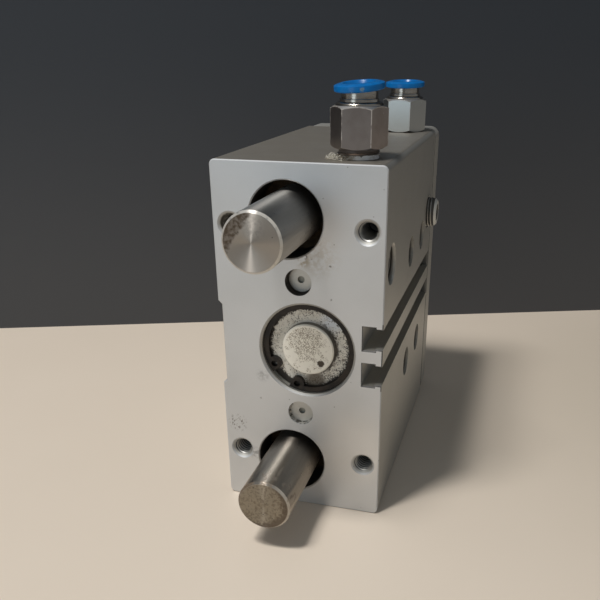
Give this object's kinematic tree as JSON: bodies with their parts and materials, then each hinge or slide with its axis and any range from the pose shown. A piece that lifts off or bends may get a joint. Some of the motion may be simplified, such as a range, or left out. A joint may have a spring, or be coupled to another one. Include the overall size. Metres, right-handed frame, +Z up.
{
  "type": "guided pneumatic cylinder",
  "caption": "Compact guided pneumatic cylinder: block housing with sensor slots, guide rods tied to a front yoke plate, circlip-held end cap and push-in tube fittings.",
  "frame": {"origin": "middle of the housing's base face, the face it stands on", "axes": "+Z up; +Y along the stroke, from the rear face to the yoke plate; +X towards the side with the sensor slots"},
  "size_m": [0.047, 0.1145, 0.1126],
  "materials": {
    "housing_aluminium": "clear anodised, satin",
    "cap_aluminium": "turned, with a pale worn film",
    "seal_rubber": "matt",
    "cushion_rubber": "matt",
    "black_spring_steel": "phosphated black",
    "bearing_bronze": "sintered",
    "plug_steel": "zinc plated",
    "nickel_brass": "nickel plated, turned",
    "nickel_sleeve": "nickel plated, turned",
    "claw_steel": "stamped stainless",
    "thread_tape": "soft white film",
    "ring_plastic": "moulded",
    "plate_aluminium": "clear anodised, satin",
    "ground_steel": "hardened and ground",
    "piston_aluminium": "turned",
    "magnet_compound": "plastic bonded",
    "wear_plastic": "moulded",
    "screw_steel": "black oxide"
  },
  "bodies": {
    "body": {"housing": "housing_aluminium", "rear_end_cap": "cap_aluminium", "rear_cap_seal": "seal_rubber", "rear_cushion": "cushion_rubber", "rear_circlip": "black_spring_steel", "front_bearing_cap": "cap_aluminium", "front_cap_seal": "seal_rubber", "front_cushion": "cushion_rubber", "front_circlip": "black_spring_steel", "rod_bush": "bearing_bronze", "rod_seal": "seal_rubber", "guide_bushes": "bearing_bronze", "guide_wipers": "seal_rubber", "side_plugs": "plug_steel", "rear_fitting_body": "nickel_brass", "rear_fitting_sleeve": "nickel_sleeve", "rear_tube_seal": "seal_rubber", "rear_claw_ring": "claw_steel", "rear_thread_tape": "thread_tape", "front_fitting_body": "nickel_brass", "front_fitting_sleeve": "nickel_sleeve", "front_tube_seal": "seal_rubber", "front_claw_ring": "claw_steel"},
    "slider": {"yoke_plate": "plate_aluminium", "guide_rods": "ground_steel", "piston_rod": "ground_steel", "piston": "piston_aluminium", "piston_seals": "seal_rubber", "piston_magnet": "magnet_compound", "piston_wear_ring": "wear_plastic", "socket_screws": "screw_steel"},
    "rear_ring": {"rear_release_ring": "ring_plastic"},
    "front_ring": {"front_release_ring": "ring_plastic"}
  },
  "joints": [
    {"name": "stroke", "type": "slide", "parent": "body", "child": "slider", "axis": [0, 1, 0], "range_m": [0, 0.03]},
    {"name": "rear_ring_press", "type": "slide", "parent": "body", "child": "rear_ring", "axis": [0, 0, -1], "range_m": [0, 0.001], "stiffness_N_per_m": 2500, "springref_m": -0.0006},
    {"name": "front_ring_press", "type": "slide", "parent": "body", "child": "front_ring", "axis": [0, 0, -1], "range_m": [0, 0.001], "stiffness_N_per_m": 2500, "springref_m": -0.0006}
  ]
}
